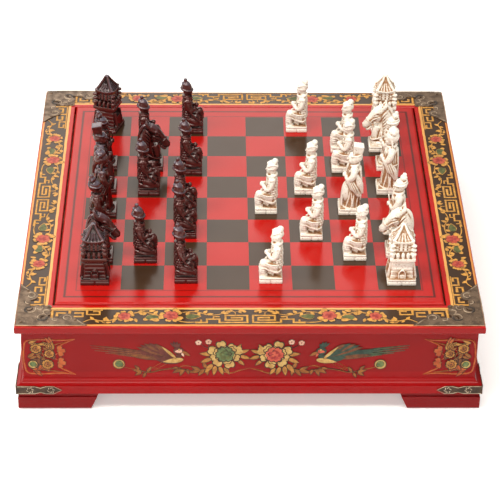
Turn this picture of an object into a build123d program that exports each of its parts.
from build123d import *
from math import cos, pi, sin
import os

# A lacquered table-top chess box with thirty-two cast chessmen standing on it.
# Millimetres, +Z up, -Y is the front, +X is the right.  The origin is the centre of
# the box's footprint, at the level of the surface that the four feet stand on.

# ---- Driving dimensions of the box -------------------------------------------------
top_size = 445.0             # over the rounded outer edges of the mitred top frame
top_thickness = 10.0
top_edge_radius = 3.0
rail_width = 34.5            # each mitred rail, outer edge to board opening
rail_inner_chamfer = 0.6

board_gap = 1.5              # running gap all round the lift-out board
board_proud = 1.0            # board surface above the frame
board_edge_radius = 2.5
square_size = 41.5           # one field of the 8 x 8 board

case_overhang = 5.7          # top frame beyond the case walls
case_height = 55.0
wall_thickness = 12.0
ledge_reach = 10.0           # ledge showing under the board, past the board opening
ledge_thickness = 10.0
bottom_thickness = 6.0
partition_thickness = 6.0
partition_clearance = 1.0    # partition top below the underside of the ledges
lining_thickness = 1.5
lining_gap = 0.5             # felt to the walls and the partition

moulding_projection = 6.7    # base moulding beyond the case walls
moulding_face = 10.0         # upright face below the cove
moulding_cove = 5.0          # height of the cove that runs up to the case
moulding_width = 34.0
moulding_edge = 0.8          # small round at the lower outer arris

foot_height = 19.0
foot_inset = 0.6             # foot behind the moulding face
foot_length_top = 78.0
foot_length_bottom = 69.5
foot_thickness = 24.0
foot_neck_height = 4.0
foot_neck_recess = 1.6
foot_edge_radius = 3.0

# ---- Driving dimensions of the brass -----------------------------------------------
brass_thickness = 0.8
plate_inset = 1.6            # corner plate behind the frame's rounded edge
plate_leg = 69.0             # corner of the frame to the tip of a plate's arm
plate_arm = 13.0             # width of an arm beside its lobe
plate_lobe_radius = 7.0
plate_lobe_along = 49.0      # lobe centre along the frame
plate_lobe_across = 12.8     # lobe centre in from the frame's edge
plate_heart = 31.0           # centre of the innermost scallop from both edges
scallop_radius = 3.0
scallop_pitch = 5.4
crescent_radius = 3.6
crescent_drop = 1.0          # how far the bite is off the blade's own line
nail_radius = 1.5
nail_crown = 1.0

strap_height = 9.4
strap_length = 44.0
strap_waist = 6.0
strap_waist_along = 23.0
rosette_radius = 3.4
rosette_crown = 0.6
rosette_first = 13.0
rosette_second = 33.0

# ---- Driving dimensions of the chessmen --------------------------------------------
pawn_plinth = 22.5
knight_plinth = 23.5
court_plinth = 22.5
rook_plinth_length = 28.0
rook_plinth_width = 26.0
plinth_height = 6.5
plinth_edge = 0.8

pawn_height = 60.5
knight_height = 58.0
rook_height = 64.5
bishop_height = 67.0
queen_height = 77.0
king_height = 78.0
corner_rook_turn = -20.0     # the dark rook on the far corner stands turned
hat_board_thickness = 2.2
form_seat = 0.5              # how deep a carved form starts inside the one below it

rook_gate_width = 5.0
rook_gate_spring = 7.0       # plinth to the spring of the gate's arch
rook_gate_depth = 1.6
rook_balcony_level = 26.5
rook_balcony_thickness = 4.0
rook_eave_level = 47.5
rook_eave_lift = 3.0         # upward sweep of the roof's corners
rook_roof_reach = 10.6       # centre line to the eave's corners
rook_bracket = 2.0           # half width of a gallery corner bracket

# ---- Levels and half sizes worked out from them ------------------------------------
moulding_height = moulding_face + moulding_cove
case_base = foot_height + moulding_height
frame_base = case_base + case_height
frame_top = frame_base + top_thickness
board_top = frame_top + board_proud

top_half = top_size / 2
opening_half = top_half - rail_width
board_half = opening_half - board_gap
case_half = top_half - case_overhang
well_half = case_half - wall_thickness
ledge_half = opening_half - ledge_reach
ledge_base = frame_base - ledge_thickness
moulding_half = case_half + moulding_projection
foot_half = moulding_half - foot_inset
floor_level = case_base + bottom_thickness
partition_top = ledge_base - partition_clearance

SIDE_NAMES = ("front", "right", "back", "left")
CORNER_NAMES = ("front_left", "front_right", "back_right", "back_left")
SIDES = {side: 360 / len(SIDE_NAMES) * turn for turn, side in enumerate(SIDE_NAMES)}
CORNERS = {corner: 360 / len(CORNER_NAMES) * turn for turn, corner in enumerate(CORNER_NAMES)}
DIAGONAL = Plane((0, 0, 0), x_dir=(0, 0, 1), z_dir=(1, -1, 0))
NAIL_SIDES = 6
GATE_SIDES = 8
CRESCENT_SIDES = 8
SCALLOP_SIDES = 8
ROSETTE_PETALS = 6
FIELD_COUNT = 8

os.makedirs("parts", exist_ok=True)


def save(name, shape):
    """Write one piece under its own name."""
    export_step(shape, f"parts/{name}.step")


def box_between(low, high):
    """A box from its lowest corner to its highest corner."""
    size = [high[axis] - low[axis] for axis in range(3)]
    return Pos(*low) * Box(*size, align=(Align.MIN, Align.MIN, Align.MIN))


# ---- Box: mitred sides -------------------------------------------------------------
def mitred_side(profile, reach, base, top):
    """The front one of four equal sides that meet in mitres, from its cross section.

    The section lies in the YZ plane with the front at -Y.
    """
    length = extrude(Plane.YZ * profile, amount=reach, both=True)
    wedge = Polygon((0, 0), (-reach, -reach), (reach, -reach), align=None)
    return length & extrude(Pos(0, 0, base) * wedge, amount=top - base)


def rectangle(low_y, high_y, base, top):
    """A rectangular cross section."""
    return Pos((low_y + high_y) / 2, (base + top) / 2) * Rectangle(high_y - low_y, top - base)


def rail_section():
    """Top frame rail: both outer edges rounded, the opening's top edge eased."""
    section = rectangle(-top_half, -opening_half, frame_base, frame_top)
    outer = section.vertices().filter_by_position(Axis.X, -top_half, -top_half)
    section = fillet(outer, top_edge_radius)
    inner = section.vertices().sort_by(Axis.X)[-2:].sort_by(Axis.Y)[-1]
    return chamfer(inner, rail_inner_chamfer)


def moulding_section():
    """Base moulding: an upright face, a hollow cove up to the case, a flat seat."""
    outer = -moulding_half
    shoulder = foot_height + moulding_face
    inner = outer + moulding_width
    foot_point = (outer, shoulder)
    case_point = (-case_half, case_base)
    sag_point = ((2 * -case_half + outer) / 3, (2 * shoulder + case_base) / 3)
    outline = Line((outer + moulding_edge, foot_height), (outer, foot_height + moulding_edge))
    outline += Line((outer, foot_height + moulding_edge), foot_point)
    outline += ThreePointArc(foot_point, sag_point, case_point)
    outline += Polyline(
        case_point, (inner, case_base), (inner, foot_height), (outer + moulding_edge, foot_height)
    )
    return make_face(outline)


def turned(shape, angle):
    """The same piece on another side of the square box."""
    return Rot(0, 0, angle) * shape


def both_ways(shape):
    """A shape and its mirror image about the corner's diagonal."""
    return shape + mirror(shape, DIAGONAL)


# ---- Box: feet ---------------------------------------------------------------------
def foot_section():
    """Bracket foot: a stepped neck under the moulding and a rounded lower edge."""
    outer = -foot_half
    neck = outer + foot_neck_recess
    inner = outer + foot_thickness
    step = foot_height - foot_neck_height
    section = Polygon(
        (outer, 0), (inner, 0), (inner, foot_height), (neck, foot_height), (neck, step),
        (outer, step), align=None,
    )
    lower = section.vertices().filter_by_position(Axis.X, outer, outer).sort_by(Axis.Y)[0]
    section = fillet(lower, foot_edge_radius)
    upper = section.vertices().filter_by_position(Axis.X, outer, outer).sort_by(Axis.Y)[-1]
    return fillet(upper, foot_neck_recess / 2)


def bracket_foot():
    """The front left foot: two mitred arms with slanted inner ends."""
    arm = mitred_side(foot_section(), foot_half, 0, foot_height)
    left_end = -foot_half
    slant = Polygon(
        (left_end, 0), (left_end + foot_length_bottom, 0),
        (left_end + foot_length_top, foot_height), (left_end, foot_height), align=None,
    )
    slant_block = extrude(Plane.XZ * slant, amount=foot_half)
    return both_ways(arm & slant_block)


# ---- Facet modelling: carved men, nail heads and flowers ---------------------------
def oval(level, centre, half_x, half_y, sides=6):
    """Corner points of a level oval polygon."""
    step = 2 * pi / sides
    turns = [step * (corner + 0.5) for corner in range(sides)]
    return [
        Vector(centre[0] + half_x * cos(turn), centre[1] + half_y * sin(turn), level)
        for turn in turns
    ]


def oblong(level, centre, half_x, half_y):
    """Corner points of a level rectangle."""
    signs = ((1, 1), (-1, 1), (-1, -1), (1, -1))
    return [
        Vector(centre[0] + sign_x * half_x, centre[1] + sign_y * half_y, level)
        for sign_x, sign_y in signs
    ]


def flat_face(*points):
    """A flat face through its corner points."""
    return Face(Wire.make_polygon(points, close=True))


def facets_between(lower, upper):
    """Flat facets between two rings of as many points."""
    faces = []
    count = len(lower)
    for corner in range(count):
        after = (corner + 1) % count
        a, b, c, d = lower[corner], lower[after], upper[after], upper[corner]
        normal = (b - a).cross(d - a)
        if abs(normal.dot(c - a)) < 1e-6 * normal.length:
            faces.append(flat_face(a, b, c, d))
        else:
            faces.append(flat_face(a, b, c))
            faces.append(flat_face(a, c, d))
    return faces


def faceted(rings):
    """A solid with flat facets through several rings, closed by the first and the last."""
    faces = [flat_face(*rings[0]), flat_face(*rings[-1])]
    for lower, upper in zip(rings, rings[1:]):
        faces += facets_between(lower, upper)
    solid = Solid(Shell(faces))
    return Part(solid.fix().wrapped)


# ---- Brass -------------------------------------------------------------------------
def plate_outline():
    """Corner plate: two arms with a round lobe, and a scalloped heart between them.

    X and Y run inward from the corner of the frame.
    """
    arm = Polygon(
        (plate_inset, plate_inset), (plate_leg, plate_inset),
        (plate_lobe_along + plate_lobe_radius, plate_arm),
        (plate_inset, plate_arm), align=None,
    )
    arm += Pos(plate_lobe_along, plate_lobe_across) * Circle(plate_lobe_radius)
    heart = Polygon(
        (plate_inset, plate_inset), (plate_heart, plate_inset), (plate_heart, plate_heart),
        (plate_inset, plate_heart), align=None,
    )
    for scallop in range(3):
        along = plate_heart - scallop * scallop_pitch
        shell = RegularPolygon(scallop_radius, SCALLOP_SIDES)
        heart += both_ways(Pos(plate_heart, along) * shell)
    blade = RegularPolygon(crescent_radius, CRESCENT_SIDES)
    crescent = Pos(plate_heart - crescent_radius, plate_arm) * blade
    crescent -= Pos(plate_heart - crescent_radius / 2, plate_arm - crescent_drop) * blade
    return both_ways(arm) + heart - both_ways(crescent)


def corner_plate():
    """The front left corner plate, lying on the top frame."""
    flat = extrude(plate_outline(), amount=brass_thickness)
    return Pos(-top_half, -top_half, frame_top) * flat


def plate_nails():
    """Round-headed nails: outer corner, both arm ends and the heart of each plate."""
    head = faceted([
        oval(0, (0, 0), nail_radius, nail_radius, NAIL_SIDES),
        oval(nail_crown * 0.6, (0, 0), nail_radius * 0.85, nail_radius * 0.85, NAIL_SIDES),
        oval(nail_crown, (0, 0), nail_radius * 0.3, nail_radius * 0.3, NAIL_SIDES),
    ])
    arm_end = (plate_lobe_along + plate_lobe_radius * 1.2, plate_arm * 0.75)
    spots = [
        (plate_arm / 2, plate_arm / 2), arm_end, arm_end[::-1],
        (plate_heart, plate_heart),
    ]
    seat = frame_top + brass_thickness
    heads = []
    for angle in CORNERS.values():
        for spot_x, spot_y in spots:
            place = Pos(spot_x - top_half, spot_y - top_half, seat)
            heads.append(turned(place * head, angle))
    return Compound(children=heads)


def strap_outline():
    """One leg of a base strap: a waisted band that ends in a pointed lobe.

    X runs from the corner of the moulding, Y is up from the strap's middle.
    """
    half = strap_height / 2
    waist = strap_waist / 2
    lobe_end = rosette_second + half
    upper = [
        (0, half), (strap_waist_along - half, half), (strap_waist_along, waist),
        (strap_waist_along + half, half), (lobe_end - half / 2, half), (lobe_end, half / 2),
        (strap_length, 0),
    ]
    lower = [(along, -across) for along, across in reversed(upper[:-1])]
    return Polygon(*upper, *lower, align=None)


def base_strap():
    """The front left strap, bent round the moulding's upright face."""
    middle = foot_height + moulding_edge + strap_height / 2
    corner = moulding_half + brass_thickness
    leg = extrude(strap_outline(), amount=brass_thickness, dir=(0, 0, 1))
    flower_top = brass_thickness + rosette_crown
    for along in (rosette_first, rosette_second):
        leg += faceted([
            oval(0, (along, 0), rosette_radius, rosette_radius, ROSETTE_PETALS),
            oval(flower_top, (along, 0), rosette_radius / 2, rosette_radius / 2,
                 ROSETTE_PETALS),
        ])
    front = Plane((-corner, -moulding_half, middle), x_dir=(1, 0, 0), z_dir=(0, -1, 0)) * leg
    return both_ways(front)


# ---- Chessmen: shared forms --------------------------------------------------------
def limb(start, end, start_half, end_half):
    """A four-sided tapering limb from one joint to the next."""
    start, end = Vector(*start), Vector(*end)
    plane = Plane(start, z_dir=end - start)
    length = (end - start).length
    rings = []
    for along, half in ((0, start_half), (length, end_half)):
        ring = oblong(along, (0, 0), half, half)
        rings.append([plane.from_local_coords(point) for point in ring])
    return faceted(rings)


def plinth(length, width):
    """The square block that each man stands on, with its top edges eased."""
    eased = plinth_height - plinth_edge
    return faceted([
        oblong(0, (0, 0), length / 2, width / 2),
        oblong(eased, (0, 0), length / 2, width / 2),
        oblong(plinth_height, (0, 0), length / 2 - plinth_edge, width / 2 - plinth_edge),
    ])


# ---- Chessmen: the six kinds, all facing +X ----------------------------------------
def head_and_neck(centre_x, chin, crown, half):
    """A head: narrow neck, jaw, brow and crown."""
    brow = chin + 0.6 * (crown - chin)
    return faceted([
        oval(chin - half * 0.7, (centre_x - half * 0.2, 0), half * 0.62, half * 0.62),
        oval(chin + half * 0.15, (centre_x + half * 0.1, 0), half * 0.85, half * 0.75),
        oval(brow, (centre_x, 0), half * 1.05, half * 0.95),
        oval(crown, (centre_x - half * 0.2, 0), half * 0.5, half * 0.5),
    ])


def pawn(domed_cap):
    """A kneeling guardsman: left knee raised, both fists before the chest."""
    size = pawn_plinth
    height = pawn_height
    body_x = -0.19 * size
    hip = 0.27 * height
    man = plinth(size, size)
    man += faceted([
        oval(plinth_height - form_seat, (-0.08 * size, 0), 0.38 * size, 0.40 * size),
        oval(0.32 * height, (-0.14 * size, 0), 0.31 * size, 0.38 * size),
        oval(0.62 * height, (body_x, 0), 0.27 * size, 0.38 * size),
        oval(0.71 * height, (body_x, 0), 0.17 * size, 0.20 * size),
    ])
    knee = (0.36 * size, 0.20 * size, 0.34 * height)
    man += limb((-0.10 * size, 0.20 * size, hip), knee, 0.15 * size, 0.13 * size)
    man += limb((0.37 * size, 0.20 * size, 0.385 * height),
                (0.33 * size, 0.20 * size, plinth_height - 2 * form_seat), 0.13 * size, 0.12 * size)
    man += limb((0.0, -0.20 * size, hip), (0.40 * size, -0.22 * size, 0.15 * height),
                0.15 * size, 0.11 * size)
    for side, reach in ((1, 0.20), (-1, 0.36)):
        elbow = (body_x, side * 0.30 * size, 0.46 * height)
        fist = (reach * size, side * 0.15 * size, 0.52 * height)
        man += limb(elbow, fist, 0.12 * size, 0.11 * size)
    crown = 0.93 * height
    man += head_and_neck(body_x - 0.02 * size, 0.745 * height, crown, 0.27 * size)
    if domed_cap:
        cap_x = body_x - 0.08 * size
        man += faceted([
            oval(0.865 * height, (cap_x, 0), 0.30 * size, 0.29 * size),
            oval(0.95 * height, (cap_x, 0), 0.20 * size, 0.19 * size),
            oval(0.98 * height, (cap_x - 0.03 * size, 0), 0.06 * size, 0.06 * size),
            oval(1.01 * height, (cap_x - 0.05 * size, 0), 0.11 * size, 0.11 * size),
            oval(1.045 * height, (cap_x - 0.05 * size, 0), 0.05 * size, 0.05 * size),
        ])
    else:
        knot = (body_x - 0.14 * size, -0.08 * size)
        man += faceted([
            oval(0.88 * height, knot, 0.15 * size, 0.15 * size),
            oval(0.96 * height, knot, 0.15 * size, 0.15 * size),
            oval(height, knot, 0.08 * size, 0.08 * size),
        ])
    return man


def knight():
    """A horse's head and neck whose muzzle reaches out over the plinth."""
    size = knight_plinth
    height = knight_height
    outline = [
        (-0.44, 0.09), (-0.53, 0.35), (-0.57, 0.62), (-0.46, 0.80), (-0.28, 0.93),
        (-0.07, 0.95), (0.16, 0.84), (0.55, 0.66), (0.92, 0.55), (0.96, 0.47),
        (0.86, 0.41), (0.52, 0.38), (0.30, 0.42), (0.26, 0.32), (0.38, 0.18), (0.40, 0.09),
    ]
    profile = Polygon(*[(along * size, up * height) for along, up in outline], align=None)
    flank = extrude(Plane.XZ * profile, amount=size / 2, both=True)
    front = [
        (-0.40, 0.09), (-0.36, 0.30), (-0.26, 0.45), (-0.21, 0.70), (-0.13, 0.96),
    ]
    right_half = [(-across, up) for across, up in reversed(front)]
    face = Polygon(*[(across * size, up * height) for across, up in front + right_half],
                   align=None)
    man = flank & extrude(Plane.YZ * face, amount=2 * size, both=True)
    man += plinth(size, size)
    for side in (1, -1):
        root = (-0.10 * size, side * 0.11 * size, 0.86 * height)
        tip = (-0.13 * size, side * 0.13 * size, height)
        man += limb(root, tip, 0.09 * size, 0.02 * size)
    return man


def rook():
    """A gate tower: battered storey with a gate, bracketed gallery and hipped roof."""
    length = rook_plinth_length
    width = rook_plinth_width
    balcony_top = rook_balcony_level + rook_balcony_thickness
    foot_x, foot_y = 0.42 * length, 0.42 * width
    wall_x, wall_y = 0.31 * length, 0.31 * width
    man = plinth(length, width)
    man += faceted([
        oblong(plinth_height - form_seat, (0, 0), foot_x, foot_y),
        oblong(rook_balcony_level, (0, 0), wall_x, wall_y),
    ])
    gate = Pos(0, plinth_height + rook_gate_spring / 2) * Rectangle(
        rook_gate_width, rook_gate_spring)
    gate += Pos(0, plinth_height + rook_gate_spring) * RegularPolygon(
        rook_gate_width / 2, GATE_SIDES)
    gate_back = foot_y - rook_gate_depth
    recess = extrude(Plane.XZ * gate, amount=rook_gate_depth)
    for outer_face in (foot_y, -gate_back):
        man -= Pos(0, outer_face, 0) * recess
    man += faceted([
        oblong(rook_balcony_level - form_seat, (0, 0), wall_x, wall_y),
        oblong(rook_balcony_level + form_seat, (0, 0), 0.44 * length, 0.44 * width),
        oblong(balcony_top, (0, 0), 0.44 * length, 0.44 * width),
    ])
    man += faceted([
        oblong(balcony_top - form_seat, (0, 0), 0.27 * length, 0.27 * width),
        oblong(rook_eave_level, (0, 0), wall_x, wall_y),
    ])
    for sign_x, sign_y in ((1, 1), (-1, 1), (-1, -1), (1, -1)):
        rings = []
        for level, reach in ((balcony_top - form_seat, 0.30), (rook_eave_level, 0.35)):
            spot = (sign_x * reach * length, sign_y * reach * width)
            rings.append(oblong(level, spot, rook_bracket, rook_bracket))
        man += faceted(rings)
    return man + hipped_roof()


def hipped_roof():
    """A four-sided roof with hollow slopes, low eaves and upswept corners."""
    half_x = rook_roof_reach
    half_y = rook_roof_reach * rook_plinth_width / rook_plinth_length
    corner_level = rook_eave_level + rook_eave_lift
    knee = corner_level + 0.30 * (rook_height - corner_level)
    signs = ((1, 0), (1, 1), (0, 1), (-1, 1), (-1, 0), (-1, -1), (0, -1), (1, -1))
    rim, soffit, slope, tip = [], [], [], []
    for sign_x, sign_y in signs:
        is_corner = sign_x != 0 and sign_y != 0
        reach = 1.0 if is_corner else 0.9
        level = corner_level if is_corner else rook_eave_level
        place = (sign_x * half_x * reach, sign_y * half_y * reach)
        rim.append(Vector(*place, level))
        soffit.append(Vector(place[0] * 0.8, place[1] * 0.8, rook_eave_level - form_seat))
        slope.append(Vector(place[0] * 0.42, place[1] * 0.42, knee))
        tip.append(Vector(place[0] * 0.07, place[1] * 0.07, rook_height))
    return faceted([soffit, rim, slope, tip])


def standing_man(height, size, shoulder_reach):
    """A robed standing figure with both hands held before the waist."""
    body_x = -0.05 * size
    shoulder = 0.72 * height
    waist = 0.52 * height
    man = plinth(size, size)
    man += faceted([
        oval(plinth_height - form_seat, (body_x, 0), 0.40 * size, 0.38 * size),
        oval(waist, (body_x, 0), 0.28 * size, (shoulder_reach + 0.04) * size),
        oval(shoulder, (body_x, 0), 0.25 * size, shoulder_reach * size),
        oval(0.79 * height, (body_x, 0), 0.13 * size, 0.15 * size),
    ])
    for side in (1, -1):
        elbow = (body_x - 0.04 * size, side * shoulder_reach * size, 0.55 * height)
        hand = (body_x + 0.40 * size, side * 0.10 * size, 0.60 * height)
        sleeve = (body_x + 0.20 * size, side * 0.28 * size, 0.56 * height)
        cuff = (body_x + 0.22 * size, side * 0.30 * size, 0.36 * height)
        man += limb(elbow, hand, 0.13 * size, 0.09 * size)
        man += limb(sleeve, cuff, 0.10 * size, 0.07 * size)
    return man


def bishop():
    """A standing officer with his hair in a side knot."""
    size, height = court_plinth, bishop_height
    body_x = -0.07 * size
    knot = (body_x - 0.12 * size, -0.06 * size)
    man = standing_man(height, size, 0.33)
    man += head_and_neck(body_x, 0.81 * height, 0.95 * height, 0.24 * size)
    return man + faceted([
        oval(0.91 * height, knot, 0.12 * size, 0.12 * size),
        oval(0.96 * height, knot, 0.14 * size, 0.14 * size),
        oval(height, knot, 0.07 * size, 0.07 * size),
    ])


def queen():
    """A court lady with a high winged hair dress."""
    size, height = court_plinth, queen_height
    body_x = -0.07 * size
    man = standing_man(height, size, 0.32)
    man += head_and_neck(body_x, 0.81 * height, 0.93 * height, 0.24 * size)
    return man + faceted([
        oval(0.895 * height, (body_x - 0.05 * size, 0), 0.22 * size, 0.26 * size),
        oval(0.94 * height, (body_x - 0.08 * size, 0), 0.20 * size, 0.36 * size),
        oval(height, (body_x - 0.10 * size, 0), 0.07 * size, 0.12 * size),
    ])


def king():
    """An emperor under a square crown that flares to a flat board, set well back."""
    size, height = court_plinth, king_height
    body_x = -0.07 * size
    crown_x = body_x - 0.12 * size
    crown_foot = 0.89 * height
    board_base = height - hat_board_thickness
    man = standing_man(height, size, 0.36)
    man += head_and_neck(body_x, 0.80 * height, 0.93 * height, 0.25 * size)
    return man + faceted([
        oblong(crown_foot, (body_x - 0.04 * size, 0), 0.18 * size, 0.16 * size),
        oblong(board_base, (crown_x, 0), 0.23 * size, 0.20 * size),
        oblong(height, (crown_x, 0), 0.24 * size, 0.21 * size),
    ])


# ---- Where the men stand -----------------------------------------------------------
# In fields: column from the left and row from the front.  1.00 is the middle of the
# first field, and the men were put down a little off the middles.
DARK_MEN = {
    "rook_1": (0.90, 1.02), "rook_2": (0.90, 7.95),
    "knight_1": (1.00, 1.88), "knight_2": (2.10, 5.98),
    "bishop_1": (0.93, 3.00), "bishop_2": (0.95, 6.00),
    "queen": (1.02, 3.83), "king": (0.98, 4.90),
    "pawn_1": (3.02, 1.05), "pawn_2": (2.05, 1.88),
    "pawn_3": (2.98, 2.93), "pawn_4": (2.98, 3.93),
    "pawn_5": (2.05, 4.83), "pawn_6": (3.10, 5.81),
    "pawn_7": (2.02, 6.93), "pawn_8": (3.12, 7.83),
}
IVORY_MEN = {
    "rook_1": (8.05, 1.02), "rook_2": (8.12, 8.00),
    "knight_1": (8.05, 2.12), "knight_2": (7.95, 6.95),
    "bishop_1": (8.05, 3.10), "bishop_2": (8.07, 6.02),
    "queen": (8.00, 4.90), "king": (7.00, 3.98),
    "pawn_1": (5.00, 1.05), "pawn_2": (7.02, 2.00),
    "pawn_3": (6.02, 2.86), "pawn_4": (4.95, 4.02),
    "pawn_5": (5.95, 4.90), "pawn_6": (6.93, 5.93),
    "pawn_7": (6.95, 6.90), "pawn_8": (5.83, 7.93),
}
ARMIES = {"dark": (DARK_MEN, 0, True), "ivory": (IVORY_MEN, 180, False)}


def standing_place(column, row):
    """Where a man's plinth stands on the board's surface."""
    middle = (1 + FIELD_COUNT) / 2
    across = (column - middle) * square_size
    away = (row - middle) * square_size
    return Pos(across, away, board_top)


for army, (men, facing, domed_cap) in ARMIES.items():
    shapes = {
        "rook": rook(), "knight": knight(), "bishop": bishop(), "queen": queen(),
        "king": king(), "pawn": pawn(domed_cap),
    }
    for man_name, place in men.items():
        turn = facing
        if (army, man_name) == ("dark", "rook_2"):
            turn = facing + corner_rook_turn
        shape = shapes[man_name.split("_")[0]]
        save(f"{army}_{man_name}", standing_place(*place) * Rot(0, 0, turn) * shape)

# ---- The box's own pieces ----------------------------------------------------------
top_rail = mitred_side(rail_section(), top_half, frame_base, frame_top)
wall_section = rectangle(-case_half, -well_half, case_base, frame_base)
case_wall = mitred_side(wall_section, case_half, case_base, frame_base)
base_moulding = mitred_side(moulding_section(), moulding_half, foot_height, case_base)
for side, angle in SIDES.items():
    save(f"top_rail_{side}", turned(top_rail, angle))
    save(f"case_wall_{side}", turned(case_wall, angle))
    save(f"base_moulding_{side}", turned(base_moulding, angle))

foot = bracket_foot()
plate = corner_plate()
for corner, angle in CORNERS.items():
    save(f"foot_{corner}", turned(foot, angle))
save("corner_plates", Compound(children=[turned(plate, angle) for angle in CORNERS.values()]))
save("plate_nails", plate_nails())

strap = base_strap()
save("base_straps", Compound(children=[turned(strap, angle) for angle in CORNERS.values()]))

ledge_section = rectangle(-well_half, -ledge_half, ledge_base, frame_base)
ledge = mitred_side(ledge_section, well_half, ledge_base, frame_base)
save("board_ledges", Compound(children=[turned(ledge, angle) for angle in SIDES.values()]))

save("bottom_panel", box_between(
    (-well_half, -well_half, case_base), (well_half, well_half, floor_level)))
half_partition = partition_thickness / 2
save("well_partition", box_between(
    (-half_partition, -well_half, floor_level), (half_partition, well_half, partition_top)))

felt_outer = well_half - lining_gap
felt_inner = half_partition + lining_gap
felt = box_between((felt_inner, -felt_outer, floor_level),
                   (felt_outer, felt_outer, floor_level + lining_thickness))
save("well_lining", Compound(children=[felt, turned(felt, 180)]))

board = box_between((-board_half, -board_half, frame_base), (board_half, board_half, board_top))
board = fillet(board.edges().group_by(Axis.Z)[-1], board_edge_radius)
save("board_panel", board)
